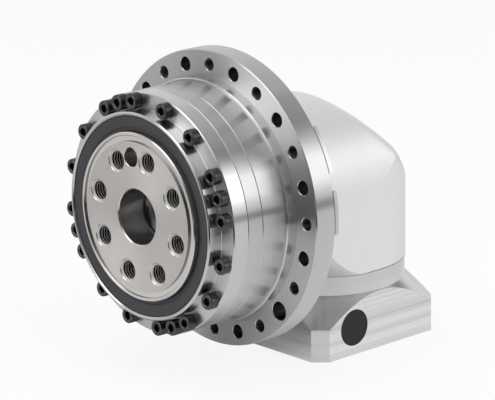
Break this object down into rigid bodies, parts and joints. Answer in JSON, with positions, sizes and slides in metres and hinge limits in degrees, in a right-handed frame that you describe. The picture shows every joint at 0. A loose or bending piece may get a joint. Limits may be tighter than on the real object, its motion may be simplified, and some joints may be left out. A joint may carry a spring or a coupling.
{
  "type": "cycloidal reducer",
  "caption": "Right-angle cycloidal reducer: big round output flange, bolted case rings with a mounting flange, elbow with bevel gears and a square motor flange.",
  "frame": {"origin": "centre of the mounting flange's front face, on the output axis", "axes": "-Y along the output axis towards the output face, -Z along the motor axis towards the motor flange, +X to the side of the access plug"},
  "size_m": [0.19, 0.2124, 0.2026],
  "materials": {
    "turned_steel": "fine turned",
    "polished_steel": "polished",
    "housing_steel": "turned",
    "ground_steel": "ground",
    "bearing_steel": "ground and polished",
    "gear_steel": "case hardened and ground",
    "black_oxide": "black oxide",
    "seal_rubber": "moulded satin",
    "blasted_aluminium": "bead blasted",
    "milled_aluminium": "turned and milled",
    "plug_plastic": "matte moulded"
  },
  "bodies": {
    "case": {"front_bearing_ring": "polished_steel", "middle_bearing_ring": "polished_steel", "pin_housing": "housing_steel", "ring_pins": "bearing_steel", "case_screws": "black_oxide", "output_seal": "seal_rubber", "elbow_housing": "blasted_aluminium", "elbow_screws": "black_oxide", "motor_adapter": "milled_aluminium", "adapter_screws": "black_oxide", "access_plug": "plug_plastic", "carrier_bearing_outer": "bearing_steel", "gear_bearing_cup": "bearing_steel", "gear_bearing_circlip": "black_oxide", "upper_input_bearing_cup": "bearing_steel", "lower_input_bearing_cup": "bearing_steel", "input_spacer_outer": "turned_steel", "input_seal": "seal_rubber"},
    "output": {"output_flange": "turned_steel", "rear_carrier_plate": "housing_steel", "output_pins": "ground_steel", "output_rollers": "bearing_steel", "carrier_screws": "black_oxide", "main_rollers": "bearing_steel", "carrier_bearing_inner": "bearing_steel", "carrier_bearing_rollers": "bearing_steel", "front_shaft_bearing_outer": "bearing_steel", "front_bearing_spacer": "turned_steel", "front_circlip": "black_oxide", "rear_shaft_bearing_outer": "bearing_steel"},
    "eccentric": {"eccentric_shaft": "ground_steel", "eccentric_rollers_front": "bearing_steel", "eccentric_rollers_rear": "bearing_steel", "front_shaft_bearing_inner": "bearing_steel", "front_shaft_bearing_rollers": "bearing_steel", "rear_shaft_bearing_inner": "bearing_steel", "rear_shaft_bearing_rollers": "bearing_steel", "gear_shaft": "ground_steel", "gear_bearing_cone": "bearing_steel", "gear_bearing_rollers": "bearing_steel", "bevel_gear": "gear_steel", "gear_end_screw": "black_oxide"},
    "disc_front": {"cycloid_disc_front": "ground_steel"},
    "disc_rear": {"cycloid_disc_rear": "ground_steel"},
    "input": {"input_shaft": "ground_steel", "bevel_pinion": "gear_steel", "pinion_end_screw": "black_oxide", "clamp_screw": "black_oxide", "upper_input_bearing_cone": "bearing_steel", "upper_input_bearing_rollers": "bearing_steel", "lower_input_bearing_cone": "bearing_steel", "lower_input_bearing_rollers": "bearing_steel", "input_spacer_inner": "turned_steel"}
  },
  "joints": [
    {"name": "output_spin", "type": "hinge", "parent": "case", "child": "output", "pos_m": [0, 0, 0], "axis": [0, 1, 0], "continuous": true},
    {"name": "shaft_spin", "type": "hinge", "parent": "case", "child": "eccentric", "pos_m": [0, 0, 0], "axis": [0, 1, 0], "continuous": true},
    {"name": "disc_front_spin", "type": "hinge", "parent": "eccentric", "child": "disc_front", "pos_m": [0, 0, 0.00125], "axis": [0, 1, 0], "continuous": true},
    {"name": "disc_rear_spin", "type": "hinge", "parent": "eccentric", "child": "disc_rear", "pos_m": [0, 0, -0.00125], "axis": [0, 1, 0], "continuous": true},
    {"name": "input_spin", "type": "hinge", "parent": "case", "child": "input", "pos_m": [0, 0.0958, 0], "axis": [0, 0, 1], "continuous": true}
  ],
  "couplings": [
    {"joint": "shaft_spin", "follows": "output_spin", "ratio": -29},
    {"joint": "disc_front_spin", "follows": "output_spin", "ratio": 30},
    {"joint": "disc_rear_spin", "follows": "output_spin", "ratio": 30},
    {"joint": "input_spin", "follows": "output_spin", "ratio": 43.5}
  ]
}
